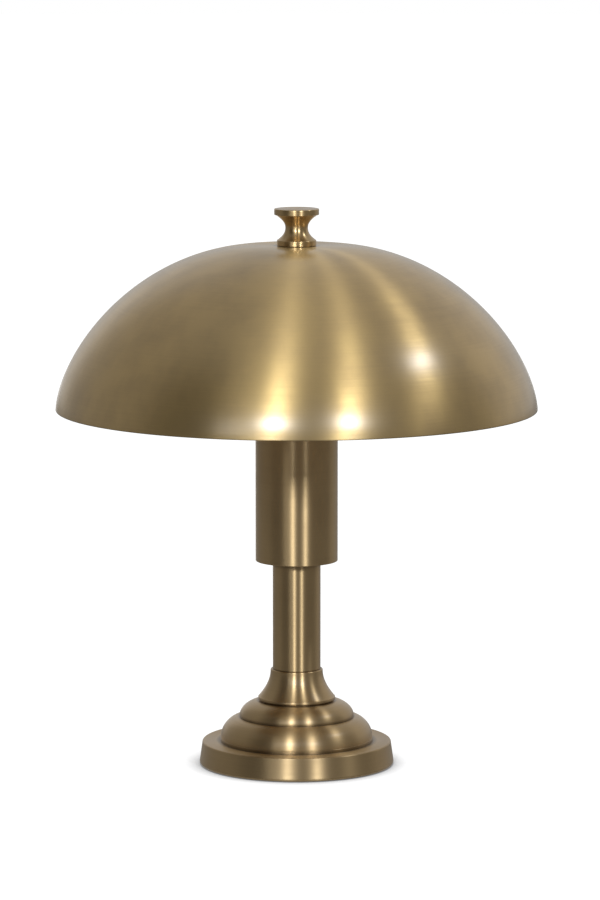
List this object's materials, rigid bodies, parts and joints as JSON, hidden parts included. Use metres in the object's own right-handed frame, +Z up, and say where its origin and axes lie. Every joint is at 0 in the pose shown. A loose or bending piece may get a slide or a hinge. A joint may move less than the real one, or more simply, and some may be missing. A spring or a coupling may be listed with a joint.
{
  "type": "dome shade desk lamp",
  "caption": "Desk lamp with a wide spun dome shade on a sleeve and column, stepped round base, screw-in bulb and a turned finial that clamps the shade.",
  "frame": {"origin": "middle of the felt underside, on the surface that the lamp stands on", "axes": "+Z up along the column, +Y to the rear, where the cord goes in, +X to the right seen from the front"},
  "size_m": [0.3999, 0.4, 0.4657],
  "materials": {
    "satin_brass": "spun sheet brass, satin, pale antique tone",
    "antique_brass": "turned brass, satin, browner antique tone",
    "polished_brass": "turned brass, semi-polished",
    "plain_brass": "plain brass, unlacquered",
    "zinc_steel": "zinc-plated steel",
    "bulb_metal": "pressed metal",
    "cast_iron": "raw casting",
    "felt": "pressed felt",
    "black_plastic": "moulded, semi-gloss",
    "white_plastic": "moulded, matt",
    "porcelain": "glazed ceramic",
    "live_insulation": "brown insulation",
    "neutral_insulation": "blue insulation",
    "earth_insulation": "green and yellow insulation",
    "light_stick": "phosphor coating",
    "bulb_glass": "clear blown glass"
  },
  "bodies": {
    "root": {"felt_pad": "felt", "foot_plate": "antique_brass", "ballast_weight": "cast_iron", "base_washer": "zinc_steel", "base_nut": "zinc_steel", "cord_bush": "black_plastic", "terminal_block": "white_plastic", "block_screws": "zinc_steel", "clamp_screws": "zinc_steel", "earth_screw": "zinc_steel", "earth_lead": "earth_insulation", "live_lead": "live_insulation", "neutral_lead": "neutral_insulation", "stepped_base": "antique_brass", "neck_collar": "antique_brass", "column_tube": "antique_brass", "column_bush": "zinc_steel", "lamp_pipe": "zinc_steel", "sleeve": "antique_brass", "sleeve_washer": "zinc_steel", "sleeve_nut": "zinc_steel", "saddle_nut": "zinc_steel", "bow_saddle": "plain_brass", "shade_bow": "plain_brass", "bow_screws": "zinc_steel", "holder_cap": "black_plastic", "grub_screw": "zinc_steel", "holder_terminals": "plain_brass", "holder_screws": "zinc_steel", "holder_insert": "porcelain", "centre_contact": "plain_brass", "side_contact": "plain_brass", "screw_shell": "plain_brass", "holder_shell": "black_plastic", "shade_stud": "plain_brass"},
    "shade": {"crown_disc": "satin_brass", "shade": "satin_brass"},
    "finial_washer": {"finial_washer": "zinc_steel"},
    "finial": {"finial": "polished_brass"},
    "bulb_tip": {"bulb_contact_tip": "bulb_metal"},
    "bulb": {"bulb_insulator": "black_plastic", "bulb_cap": "bulb_metal", "bulb_stem": "bulb_glass", "bulb_filaments": "light_stick", "bulb_glass": "bulb_glass"}
  },
  "joints": [
    {"name": "shade_turn", "type": "hinge", "parent": "root", "child": "shade", "pos_m": [0, 0, 0.435], "axis": [0, 0, 1], "continuous": true},
    {"name": "finial_rise", "type": "slide", "parent": "root", "child": "finial_washer", "axis": [0, 0, 1], "range_m": [0, 0.012]},
    {"name": "finial_turn", "type": "hinge", "parent": "finial_washer", "child": "finial", "pos_m": [0, 0, 0.435], "axis": [0, 0, 1], "range_deg": [0, 4320]},
    {"name": "bulb_rise", "type": "slide", "parent": "root", "child": "bulb_tip", "axis": [0, 0, 1], "range_m": [0, 0.01814]},
    {"name": "bulb_turn", "type": "hinge", "parent": "bulb_tip", "child": "bulb", "pos_m": [0, 0, 0.2675], "axis": [0, 0, 1], "range_deg": [0, 1800]}
  ],
  "couplings": [
    {"joint": "finial_turn", "follows": "finial_rise", "rad_per_m": 6283.2},
    {"joint": "bulb_turn", "follows": "bulb_rise", "rad_per_m": 1731.6}
  ]
}
